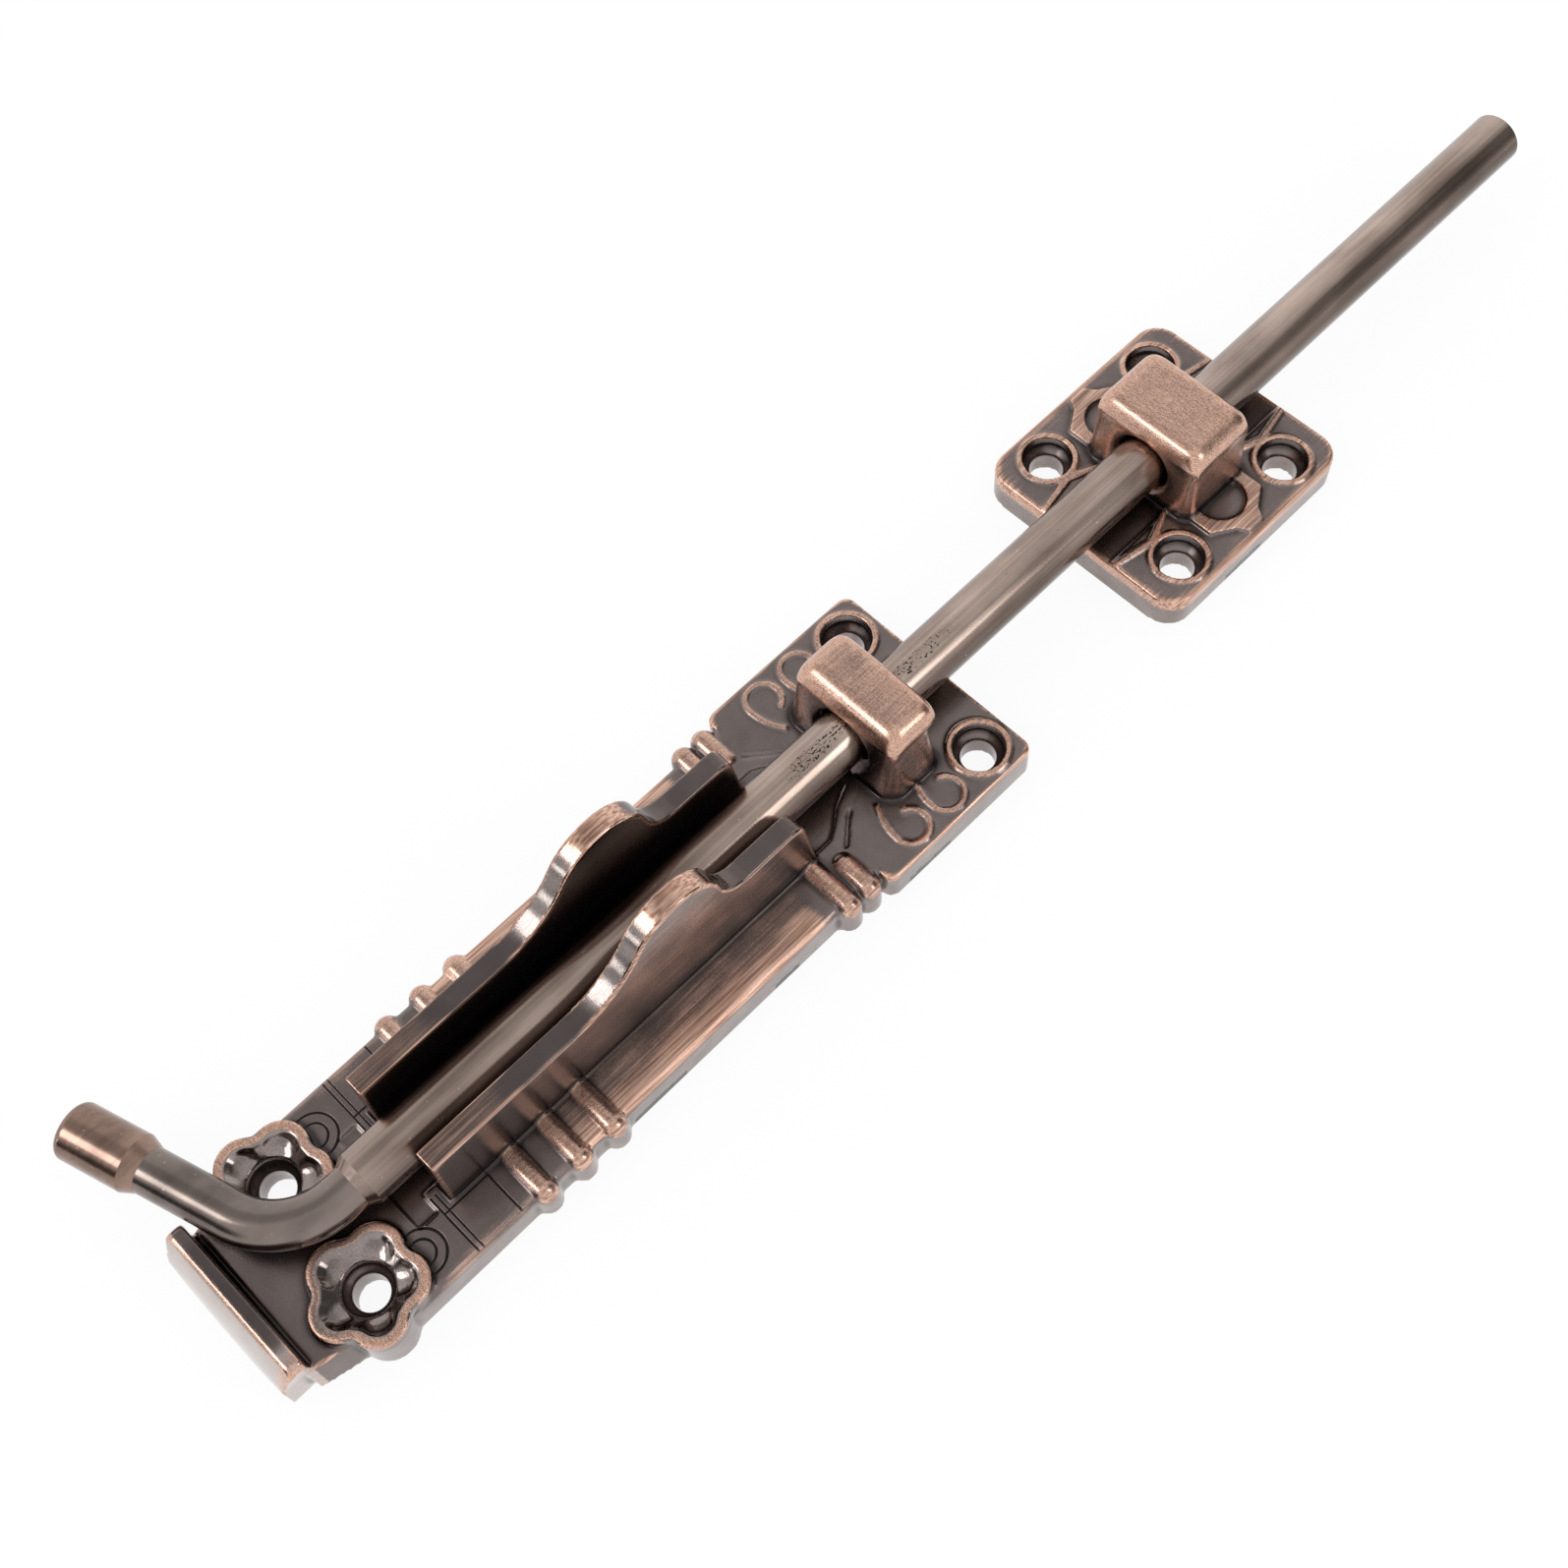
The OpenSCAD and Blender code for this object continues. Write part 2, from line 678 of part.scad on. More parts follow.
// The round bolt rod, chamfered at its tip and coned down to the handle at its back.
module bolt_rod() {
  color("#8f8078")
    translate([0, 0, axis_h])
      rotate([0, 90, 0]) {
        translate([0, 0, shoulder_x])
          cylinder(h = tip_x - tip_chamfer - shoulder_x, r = rod_r);
        translate([0, 0, tip_x - tip_chamfer])
          cylinder(h = tip_chamfer, r1 = rod_r, r2 = rod_r - tip_chamfer);
        translate([0, 0, shoulder_x - shoulder_cone])
          cylinder(h = shoulder_cone, r1 = bar_r, r2 = rod_r);
      }
}

// Places what follows along the handle's arm, with +Z of the child running out along it.
module along_arm(s) {
  translate([corner_x, 0, axis_h])
    rotate([0, 0, 90 - bend_angle])
      rotate([-90, 0, 0])
        translate([0, 0, s])
          children();
}

// The bent handle bar: straight, bend and arm.
module handle_bar() {
  lap = 0.4;
  bar_x1 = shoulder_x - shoulder_cone;
  bend_x = corner_x + bend_run;
  color("#85766e") {
    translate([bend_x - lap, 0, axis_h])
      rotate([0, 90, 0])
        cylinder(h = bar_x1 - bend_x + lap, r = bar_r - seam);
    translate([bend_x, bend_r, axis_h])
      rotate(-90 - bend_angle)
        rotate_extrude(angle = bend_angle)
          translate([bend_r, 0])
            circle(bar_r);
    along_arm(bend_run - lap)
      cylinder(h = knob_start - bend_run + lap, r = bar_r - seam);
  }
}

// The knob on the arm's end: a cone and a short round barrel with a rounded end.
module handle_knob() {
  knob_r = knob_d / 2;
  color("#93695a") {
    along_arm(knob_start)
      cylinder(h = knob_cone, r1 = bar_r, r2 = knob_r);
    along_arm(knob_start + knob_cone)
      cylinder(h = knob_end - knob_round - knob_start - knob_cone, r = knob_r);
    along_arm(knob_end - knob_round) {
      rotate_extrude()
        translate([knob_r - knob_round, 0])
          circle(knob_round);
      cylinder(h = knob_round, r = knob_r - knob_round);
    }
  }
}

base_casting();
keeper_casting();
bolt_rod();
handle_bar();
handle_knob();
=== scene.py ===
import math

import bmesh
import bpy
import numpy
from mathutils import Matrix, Vector


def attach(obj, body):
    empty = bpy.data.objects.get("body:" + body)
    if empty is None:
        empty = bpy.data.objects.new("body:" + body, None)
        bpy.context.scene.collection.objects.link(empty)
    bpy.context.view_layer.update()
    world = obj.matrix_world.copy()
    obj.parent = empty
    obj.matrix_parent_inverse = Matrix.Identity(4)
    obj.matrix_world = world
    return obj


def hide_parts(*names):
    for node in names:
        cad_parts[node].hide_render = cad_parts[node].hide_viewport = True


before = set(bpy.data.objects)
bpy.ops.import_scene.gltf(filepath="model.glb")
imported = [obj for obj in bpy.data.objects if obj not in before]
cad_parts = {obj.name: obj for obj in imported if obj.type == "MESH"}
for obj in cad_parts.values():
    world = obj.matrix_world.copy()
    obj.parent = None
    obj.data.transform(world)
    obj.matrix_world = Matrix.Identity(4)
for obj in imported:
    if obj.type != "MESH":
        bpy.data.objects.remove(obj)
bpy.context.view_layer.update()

# Camera. It stands where the photographer's stood: high over the latch's back end, looking
# forward along the bolt, with the lens that the photograph's perspective gives.
camera_data = bpy.data.cameras.new("photo_camera")
camera_data.lens = 46.82
camera_data.sensor_width = 36
camera_data.clip_start = 0.01
camera = bpy.data.objects.new("photo_camera", camera_data)
bpy.context.scene.collection.objects.link(camera)
image_right = Vector((0.70585, -0.70674, -0.04788))
image_down = Vector((-0.64684, -0.61553, -0.45025))
image_axes = Matrix((image_right, -image_down, image_down.cross(image_right)))
camera.rotation_euler = image_axes.transposed().to_euler()
camera.location = (-0.12868, -0.11811, 0.31798)
bpy.context.scene.camera = camera
bpy.context.scene.view_settings.view_transform = "Standard"


# Studio. A white room to the eye. What the metal shows is three softboxes, one of them small and
# low, in a room that is darker overhead and towards four dark cards, as in the photograph.
def add(tree, kind, links=None, **settings):
    """A new node with its settings, and a socket to link or a value for each named input."""
    node = tree.nodes.new(kind)
    for name, value in settings.items():
        setattr(node, name, value)
    for socket, value in (links or {}).items():
        if isinstance(value, bpy.types.NodeSocket):
            tree.links.new(value, node.inputs[socket])
        else:
            node.inputs[socket].default_value = value
    return node


def calc(operation, *values, clamp=False):
    """A math node, in the tree that its first socket belongs to."""
    tree = next(value.id_data for value in values if isinstance(value, bpy.types.NodeSocket))
    links = dict(enumerate(values))
    return add(tree, "ShaderNodeMath", links, operation=operation, use_clamp=clamp).outputs[0]


def times(*values):
    product = values[0]
    for value in values[1:]:
        product = calc("MULTIPLY", product, value)
    return product


def less(value):
    """What a mask leaves: 1 where it is 0, and 0 where it is 1."""
    return calc("SUBTRACT", 1.0, value, clamp=True)


def band(value, low, high):
    """0 at low, 1 at high, smooth between them. Low may be the larger."""
    links = {"Value": value, "From Min": low, "From Max": high}
    node = add(value.id_data, "ShaderNodeMapRange", links, interpolation_type="SMOOTHSTEP")
    return node.outputs["Result"]


def heading(azimuth, elevation):
    turn, climb = math.radians(azimuth), math.radians(elevation)
    return (math.cos(turn) * math.cos(climb), math.sin(turn) * math.cos(climb), math.sin(climb))


def seen_white(tree):
    """Rays from the eye, and rays from the eye or from polished metal."""
    path = add(tree, "ShaderNodeLightPath").outputs
    sharp = calc("MAXIMUM", path["Is Glossy Ray"], path["Is Transmission Ray"])
    return path["Is Camera Ray"], calc("MAXIMUM", path["Is Camera Ray"], sharp)


world = bpy.data.worlds.new("studio")
world.use_nodes = True
bpy.context.scene.world = world
tree = world.node_tree
tree.nodes.clear()
ray = add(tree, "ShaderNodeTexCoord").outputs["Generated"]
height = add(tree, "ShaderNodeSeparateXYZ", {0: ray}).outputs["Z"]
level = less(times(band(height, 0.3, 0.95), 0.12))
# Each card: azimuth, elevation, half angles of its full and of its whole shade, and how dark.
dark_cards = ((-32, 27, 10, 36, 0.85), (175, 10, 6, 21, 0.95),
              (97, 66, 8, 26, 0.35), (5, 52, 5, 30, 0.16))
for azimuth, elevation, inner, outer, depth in dark_cards:
    links = {0: ray, 1: heading(azimuth, elevation)}
    facing = add(tree, "ShaderNodeVectorMath", links, operation="DOT_PRODUCT").outputs["Value"]
    shade = band(facing, math.cos(math.radians(outer)), math.cos(math.radians(inner)))
    level = times(level, less(times(shade, depth)))
to_eye, to_metal = seen_white(tree)
room = add(tree, "ShaderNodeBackground", {"Color": (1, 1, 1, 1), "Strength": level}).outputs[0]
white = add(tree, "ShaderNodeBackground", {"Color": (1, 1, 1, 1), "Strength": 1.0}).outputs[0]
metal_room = add(tree, "ShaderNodeMixShader", {0: to_metal, 1: white, 2: room}).outputs[0]
whole_room = add(tree, "ShaderNodeMixShader", {0: to_eye, 1: metal_room, 2: white}).outputs[0]
add(tree, "ShaderNodeOutputWorld", {"Surface": whole_room})

latch_middle = Vector((-0.03, 0, 0))
softbox_distance = 1.1
# Each softbox: name, azimuth, elevation, width, height and power.
softboxes = (("back_softbox", 155, 42, 0.36, 0.36, 1.8),
             ("near_softbox", -67, 38, 0.24, 0.46, 1.2),
             ("low_softbox", 159, 14, 0.13, 0.13, 0.2))
for name, azimuth, elevation, width, tall, power in softboxes:
    lamp_data = bpy.data.lights.new(name, "AREA")
    lamp_data.shape = "RECTANGLE"
    lamp_data.size = width
    lamp_data.size_y = tall
    lamp_data.energy = power
    lamp = bpy.data.objects.new(name, lamp_data)
    lamp.location = latch_middle + softbox_distance * Vector(heading(azimuth, elevation))
    lamp.rotation_euler = (lamp.location - latch_middle).to_track_quat("Z", "Y").to_euler()
    bpy.context.scene.collection.objects.link(lamp)

# Floor. The white table that the latch lies on. To the eye it is nearly its own white, so that
# only the latch's soft shadow tells where it is.
bpy.ops.object.select_all(action="DESELECT")
bpy.ops.mesh.primitive_plane_add(size=6, location=(0, 0, -0.00005))
floor = bpy.context.active_object
floor.name = "floor"
floor_white = bpy.data.materials.new("floor_white")
floor_white.use_nodes = True
tree = floor_white.node_tree
tree.nodes.clear()
to_eye, to_metal = seen_white(tree)
own_white = times(to_metal, 0.92)
paint = add(tree, "ShaderNodeBsdfDiffuse", {"Color": (0.9, 0.9, 0.9, 1)}).outputs[0]
glow = add(tree, "ShaderNodeEmission", {"Color": (1, 1, 1, 1), "Strength": 1.0}).outputs[0]
veil = add(tree, "ShaderNodeMixShader", {0: own_white, 1: paint, 2: glow}).outputs[0]
add(tree, "ShaderNodeOutputMaterial", {"Surface": veil})
floor.data.materials.append(floor_white)


# Base casting. Zinc, cast in one piece with its rails, ribs, stars, stop and staple, plated in
# antique red copper: dark in the hollows, and brushed back to bright copper on all that stands up.
# Its edges and inside corners are soft from the mould, softest on the staple and the end stop.
def inside(point, low, high):
    return all(a < c < b for a, c, b in zip(low, point, high))


def store_turn(piece, name, passes):
    """How far each point stands out from its surroundings: over 0 on edges, under 0 in corners."""
    mesh = piece.data
    points = len(mesh.vertices)
    place, normal = numpy.empty(points * 3), numpy.empty(points * 3)
    ends = numpy.empty(len(mesh.edges) * 2, numpy.int32)
    mesh.vertices.foreach_get("co", place)
    mesh.vertex_normals.foreach_get("vector", normal)
    mesh.edges.foreach_get("vertices", ends)
    place, normal, ends = place.reshape(-1, 3), normal.reshape(-1, 3), ends.reshape(-1, 2)
    neighbours = numpy.bincount(ends.ravel(), minlength=points)
    eased = place.copy()
    for _ in range(passes):
        eased = numpy.stack([
            (numpy.bincount(ends[:, 0], eased[ends[:, 1], axis], points)
             + numpy.bincount(ends[:, 1], eased[ends[:, 0], axis], points)) / neighbours
            for axis in range(3)], axis=1)
    turn = mesh.attributes.new(name, "FLOAT", "POINT")
    turn.data.foreach_set("value", ((place - eased) * normal).sum(axis=1))


def soft_casting(node, body, cap_edges, cutters, eased_regions, triangles):
    """A CAD casting with its cap's two long edges rounded, its scoops cut and its skin eased."""
    piece = bpy.data.objects.new(node + "_soft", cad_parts[node].data.copy())
    bpy.context.scene.collection.objects.link(piece)
    bpy.ops.object.select_all(action="DESELECT")
    piece.select_set(True)
    bpy.context.view_layer.objects.active = piece
    bpy.ops.object.mode_set(mode="EDIT")
    bpy.ops.mesh.select_all(action="SELECT")
    bpy.ops.mesh.remove_doubles(threshold=0.000001)
    bpy.ops.mesh.dissolve_limited(angle_limit=math.radians(0.5))
    bpy.ops.mesh.select_mode(type="EDGE")
    bpy.ops.mesh.select_all(action="DESELECT")
    shape = bmesh.from_edit_mesh(piece.data)
    for edge in shape.edges:
        on_cap = all(inside(vertex.co, *cap_edges) for vertex in edge.verts)
        edge.select_set(on_cap and edge.calc_face_angle(0) > math.radians(25))
    bmesh.update_edit_mesh(piece.data)
    bpy.ops.mesh.bevel(offset=0.002, segments=6, affect="EDGES")
    bpy.ops.object.mode_set(mode="OBJECT")
    for cutter in cutters:
        scoop = piece.modifiers.new("scoop", "BOOLEAN")
        scoop.operation = "DIFFERENCE"
        scoop.solver = "EXACT"
        scoop.object = cutter
        bpy.ops.object.modifier_apply(modifier="scoop")
        bpy.data.objects.remove(cutter)
    skin = piece.modifiers.new("skin", "REMESH")
    skin.mode = "VOXEL"
    skin.voxel_size = 0.0003
    bpy.ops.object.modifier_apply(modifier="skin")
    for name, low, high, passes in (*eased_regions, ("all", (-1, -1, -1), (1, 1, 1), 3)):
        region = piece.vertex_groups.new(name=name)
        members = [vertex.index for vertex in piece.data.vertices if inside(vertex.co, low, high)]
        region.add(members, 1.0, "REPLACE")
        ease = piece.modifiers.new(name, "SMOOTH")
        ease.factor = 0.5
        ease.iterations = passes
        ease.vertex_group = name
        bpy.ops.object.modifier_apply(modifier=name)
        piece.vertex_groups.clear()
    store_turn(piece, "near_turn", 8)
    store_turn(piece, "wide_turn", 44)
    thin = piece.modifiers.new("thin", "DECIMATE")
    thin.ratio = min(1.0, triangles / (2 * len(piece.data.polygons)))
    bpy.ops.object.modifier_apply(modifier="thin")
    bpy.ops.object.shade_smooth()
    even = piece.modifiers.new("even", "WEIGHTED_NORMAL")
    even.weight = 80
    bpy.ops.object.modifier_apply(modifier="even")
    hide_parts(node)
    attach(piece, body)
    return piece


# The stars: where their middles lie, their round pockets, the circles that their lobes and the
# valleys between the lobes follow, and how far from a lobe's middle line a valley takes over.
star_x, star_y = -0.1335, 0.01165
pocket_radius = 0.0044
lobe_at, lobe_radius = 0.0052, 0.0032
valley_at, valley_radius = 0.01083, 0.0041
lobe_turn = 72
valley_from = 22.44
# Each ring of the scoop: its share of the way to the rim, its height in a trough and on a ridge.
scoop_rings = ((-0.02, 0.0075, 0.0075), (0.35, 0.00792, 0.0083), (0.7, 0.00852, 0.00895),
               (1.0, 0.0095, 0.0095), (1.02, 0.0102, 0.0102))


def reach(centre, radius, off, way):
    """How far a ray from a star's middle runs to a circle, off degrees from the circle's middle."""
    across = centre * math.sin(math.radians(off))
    return centre * math.cos(math.radians(off)) + way * math.sqrt(radius ** 2 - across ** 2)


def star_scoop(middle_x, middle_y):
    """What is scooped out of a star inside its rim: five troughs with sharp ridges between."""
    tall = 0.004
    steps = len(scoop_rings) - 1
    bpy.ops.object.select_all(action="DESELECT")
    bpy.ops.mesh.primitive_cylinder_add(vertices=180, radius=pocket_radius, depth=tall,
                                        location=(0, 0, 0))
    cutter = bpy.context.active_object
    bpy.ops.object.mode_set(mode="EDIT")
    bpy.ops.mesh.select_mode(type="EDGE")
    bpy.ops.mesh.select_all(action="DESELECT")
    shape = bmesh.from_edit_mesh(cutter.data)
    for edge in shape.edges:
        edge.select_set(abs(edge.verts[0].co.z - edge.verts[1].co.z) > tall / 2)
    bmesh.update_edit_mesh(cutter.data)
    bpy.ops.mesh.subdivide(number_cuts=steps - 1)
    bpy.ops.object.mode_set(mode="OBJECT")
    for point in cutter.data.vertices:
        share, trough, ridge = scoop_rings[round((point.co.z / tall + 0.5) * steps)]
        turn = math.atan2(point.co.y, point.co.x)
        off = abs(math.degrees(turn) % lobe_turn - lobe_turn / 2)
        if off < valley_from:
            rim = reach(lobe_at, lobe_radius, off, 1)
        else:
            rim = reach(valley_at, valley_radius, lobe_turn / 2 - off, -1)
        far = pocket_radius + share * (rim - pocket_radius)
        rise = trough + (ridge - trough) * (off / (lobe_turn / 2)) ** 1.6
        point.co = (middle_x + far * math.cos(turn), middle_y + far * math.sin(turn), rise)
    return cutter


base_scoops = (star_scoop(star_x, -star_y), star_scoop(star_x, star_y))
base_cap_edges = ((-0.018, -0.012, 0.0204), (-0.005, 0.012, 0.025))
base_eased = (("staple", (-0.0225, -0.0155, 0.0085), (0.0115, 0.0155, 0.03), 36),
              ("stop", (-0.154, -0.03, 0.0085), (-0.1462, 0.03, 0.02), 24))
base_piece = soft_casting("base_casting", "base", base_cap_edges, base_scoops,
                          base_eased, 190000)


def group(name, inputs, outputs):
    """A new node group: what it is given, and the places for its results."""
    tree = bpy.data.node_groups.new(name, "ShaderNodeTree")
    for way, sockets in (("INPUT", inputs), ("OUTPUT", outputs)):
        for label, kind in sockets.items():
            tree.interface.new_socket(label, in_out=way, socket_type="NodeSocket" + kind)
    return add(tree, "NodeGroupInput").outputs, add(tree, "NodeGroupOutput").inputs


def wire(value, socket):
    socket.id_data.links.new(value, socket)


def noise(where, scale, detail, stretch=(1, 1, 1), swirl=0.0):
    tree = where.id_data
    moved = add(tree, "ShaderNodeMapping", {"Vector": where, "Scale": stretch}).outputs[0]
    links = {"Vector": moved, "Scale": scale, "Detail": detail, "Distortion": swirl}
    return add(tree, "ShaderNodeTexNoise", links).outputs["Fac"]


def blend(factor, first, second):
    """The first colour where factor is 0, and the second where it is 1."""
    links = {0: factor, 6: first, 7: second}
    return add(factor.id_data, "ShaderNodeMix", links, data_type="RGBA").outputs[2]


def most(*values):
    top = values[0]
    for value in values[1:]:
        top = calc("MAXIMUM", top, value)
    return top


def total(*values):
    whole = values[0]
    for value in values[1:]:
        whole = calc("ADD", whole, value)
    return whole


def swing(value, share):
    """A noise about 0 rather than about its middle, and as strong as share says."""
    return times(calc("SUBTRACT", value, 0.5), share)


# Where a cast surface turns over an edge, where it stands free, and where it is shut in, from how
# far it stands out of its near and of its wide surroundings.
given, result = group("cast_edges", {"Near": "Float", "Wide": "Float"},
                      {"Edge": "Float", "Open": "Float", "Hollow": "Float"})
wire(band(given["Near"], 0.00003, 0.00014), result["Edge"])
wire(band(given["Wide"], 0.00002, 0.0004), result["Open"])
wire(band(given["Wide"], -0.00006, -0.0004), result["Hollow"])

# Antique copper: black in the hollows and grooves, dark patina on the fields, grey-brown plating
# where the patina is rubbed thin, and red copper where it is brushed off. Brush is 1 for strokes
# that run along the latch, and 0 for short ones across it.
finish_results = {"Color": "Color", "Roughness": "Float", "Height": "Float"}
given, result = group("antique_copper", {
    "Copper": "Float", "Plating": "Float", "Polish": "Float", "Brush": "Float",
    "Hollow": "Float", "Groove": "Float", "Where": "Vector"}, finish_results)
cloud = noise(given["Where"], 170, 5)
dust = noise(given["Where"], 4200, 3)
along = noise(given["Where"], 2300, 4, (0.035, 1, 1))
across = noise(given["Where"], 5200, 3, (1, 0.12, 1))
wave = noise(given["Where"], 150, 1)
hatch = total(times(across, 0.4), times(dust, 0.6))
stroke = total(times(along, given["Brush"]), times(hatch, less(given["Brush"])))
uneven = total(swing(stroke, 0.5), swing(cloud, 0.4), swing(dust, 0.35))
worn = times(band(total(given["Copper"], uneven), 0.18, 0.85), band(given["Copper"], 0.0, 0.2))
plated = times(band(total(given["Plating"], times(uneven, 0.6)), 0.1, 0.9),
               band(given["Plating"], 0.0, 0.2))
patina = blend(total(times(cloud, 0.6), times(dust, 0.4)),
               (0.095, 0.074, 0.069, 1), (0.285, 0.23, 0.218, 1))
grey = blend(cloud, (0.30, 0.245, 0.225, 1), (0.56, 0.475, 0.44, 1))
grey = blend(band(given["Polish"], 0.6, 1.0), grey, (0.64, 0.56, 0.525, 1))
copper = blend(band(stroke, 0.25, 0.75), (0.30, 0.148, 0.098, 1), (0.93, 0.61, 0.475, 1))
shown = blend(plated, patina, grey)
shown = blend(worn, shown, copper)
shown = blend(times(given["Hollow"], 0.85), shown, (0.016, 0.012, 0.011, 1))
shown = blend(given["Groove"], shown, (0.012, 0.009, 0.008, 1))
wire(shown, result["Color"])
matt = less(given["Polish"])
wire(total(0.11, times(matt, 0.1), times(worn, matt, 0.08), times(dust, matt, 0.1)),
     result["Roughness"])
wire(total(times(stroke, worn, 0.7), times(dust, 0.5), times(wave, 7.0),
           times(given["Groove"], -6.0)), result["Height"])


def metal(name):
    """A lacquered metal that still has no finish, and where its points lie."""
    material = bpy.data.materials.new(name)
    material.use_nodes = True
    tree = material.node_tree
    tree.nodes.clear()
    shader = add(tree, "ShaderNodeBsdfPrincipled",
                 {"Metallic": 1.0, "Coat Weight": 0.3, "Coat Roughness": 0.07})
    add(tree, "ShaderNodeOutputMaterial", {"Surface": shader.outputs[0]})
    return material, shader, add(tree, "ShaderNodeTexCoord").outputs["Object"]


def measures(where):
    """A point's x, y and z, and how far its surface faces up."""
    tree = where.id_data
    place = add(tree, "ShaderNodeSeparateXYZ", {0: where}).outputs
    normal = add(tree, "ShaderNodeNewGeometry").outputs["Normal"]
    slope = add(tree, "ShaderNodeSeparateXYZ", {0: normal}).outputs["Z"]
    return place["X"], place["Y"], place["Z"], slope


def turns(tree):
    """The cast_edges group on the two attributes that store_turn has left on a casting."""
    links = {label: add(tree, "ShaderNodeAttribute", None, attribute_name=name).outputs["Fac"]
             for label, name in (("Near", "near_turn"), ("Wide", "wide_turn"))}
    edge_group = bpy.data.node_groups["cast_edges"]
    return add(tree, "ShaderNodeGroup", links, node_tree=edge_group).outputs


def lay_finish(shader, finish, strength, depth, **given):
    """Wires a finish group into a metal, with its height as a bump of that strength and depth."""
    tree = shader.id_data
    coat = add(tree, "ShaderNodeGroup", given, node_tree=bpy.data.node_groups[finish]).outputs
    wire(coat["Color"], shader.inputs["Base Color"])
    wire(coat["Roughness"], shader.inputs["Roughness"])
    links = {"Strength": strength, "Distance": depth, "Height": coat["Height"]}
    wire(add(tree, "ShaderNodeBump", links).outputs[0], shader.inputs["Normal"])


def between(value, low, high, soft):
    return times(band(value, low, low + soft), band(value, high, high - soft))


def line(value, middle, half):
    off = calc("ABSOLUTE", calc("SUBTRACT", value, middle))
    return band(off, half, half * 0.4)


def apart(first, second):
    """The distance that two offsets at right angles come to."""
    return calc("SQRT", total(times(first, first), times(second, second)))


def sprue_scars(where, x, z, spans, top):
    """Ragged black stubs low on a side, where the metal ran in and was broken off."""
    stubs = most(*(between(x, back, front, 0.0004) for back, front in spans))
    ragged_z = total(z, times(noise(where, 900, 3), 0.0022))
    return times(stubs, band(ragged_z, top, top - 0.0006))


base_metal, shader, where = metal("base_antique_copper")
x, y, z, slope = measures(where)
side = calc("ABSOLUTE", y)
up, upright = band(slope, 0.55, 0.92), band(slope, 0.55, 0.3)
edges = turns(shader.id_data)

# The relief: scrolls, rings and ribs, all brushed.
relief_heights = (0.0071, 0.0094)
relief_top = times(up, between(z, *relief_heights, 0.0003), 0.66)

# The stars: copper on the rim, most of all on its outer side, and polished plating in the dish.
star_off_x, star_off_y = calc("SUBTRACT", x, star_x), calc("SUBTRACT", side, star_y)
star_away = apart(star_off_x, star_off_y)
on_star = times(between(x, -0.1436, -0.1230, 0.0001), band(z, 0.0074, 0.0077))
rim_top = times(band(z, 0.0092, 0.0094), band(slope, 0.955, 0.985))
outward = total(times(star_off_y, 0.8), times(star_off_x, 0.6))
star_rim = times(on_star, rim_top, band(outward, -0.008, 0.001), 0.75)
star_dish = times(on_star, less(rim_top), band(star_away, 0.0089, 0.0085))

# The rails: copper on the hump and towards the back end, plain on the long hollow and the nose,
# and a little rubbed on the outside walls.
beyond_rail_middle = band(side, 0.0085, 0.0095)
rail_top = times(band(z, 0.0222, 0.0227), band(x, -0.0315, -0.0325), band(slope, 0.1, 0.5))
rail_back = times(rail_top, up, band(x, -0.094, -0.106), 0.5)
rail_hump = times(rail_top, band(slope, 0.2, 0.5), between(x, -0.0705, -0.0555, 0.003), 0.95)
rail_plain = times(rail_top, most(between(x, -0.099, -0.083, 0.003), band(x, -0.056, -0.054)), 0.6)
rail_grey = times(rail_top, total(times(between(x, -0.0835, -0.064, 0.003), 0.4),
                                  times(band(x, -0.0565, -0.0535), 0.12)))
rail_wall = times(upright, band(z, 0.008, 0.012), between(x, -0.116, -0.034, 0.001),
                  beyond_rail_middle, total(0.16, times(band(x, -0.095, -0.06), 0.16)))
dim_rail = times(rail_top, less(rail_hump), 0.42)

# The staple: its cap is brushed all over, and its legs on their outer sides.
cap = times(band(z, 0.0198, 0.0206), band(x, -0.0225, -0.0215),
            total(0.6, times(edges["Open"], 0.3)))
leg = times(between(x, -0.0225, 0.0105, 0.001), between(z, 0.008, 0.021, 0.0015),
            band(side, 0.006, 0.009), 0.42)

# The plate: panels brushed along both edges beside the rails and behind them, and a grey side wall.
foot_wall = times(upright, band(z, 0.0078, 0.0068), band(side, 0.0165, 0.0175))
panel = times(less(times(foot_wall, 0.75)), total(0.36, times(band(side, 0.013, 0.019), 0.42)),
              between(x, -0.0985, -0.0395, 0.003), beyond_rail_middle, band(z, 0.0105, 0.0073))
back_panel = times(band(side, 0.0155, 0.0195), between(x, -0.122, -0.1, 0.003), up, 0.4)

# The end stop: plated, with copper on its top and its -Y end, and duller along the slope's middle.
stop = band(x, -0.1466, -0.1472)
stop_top = times(stop, band(slope, 0.35, 0.8), band(x, -0.1488, -0.1498),
                 band(z, 0.009, 0.0115), 0.8)
stop_dark = times(stop, band(slope, 0.5, 0.9), band(x, -0.1500, -0.1490), band(y, -0.0125, -0.0095))
stop_end = times(stop, band(y, -0.0095, -0.0145), band(slope, -0.05, 0.3), 0.6)
dim_stop = times(stop, band(slope, 0.4, 0.8), between(y, -0.0115, 0.0135, 0.004), 0.5)

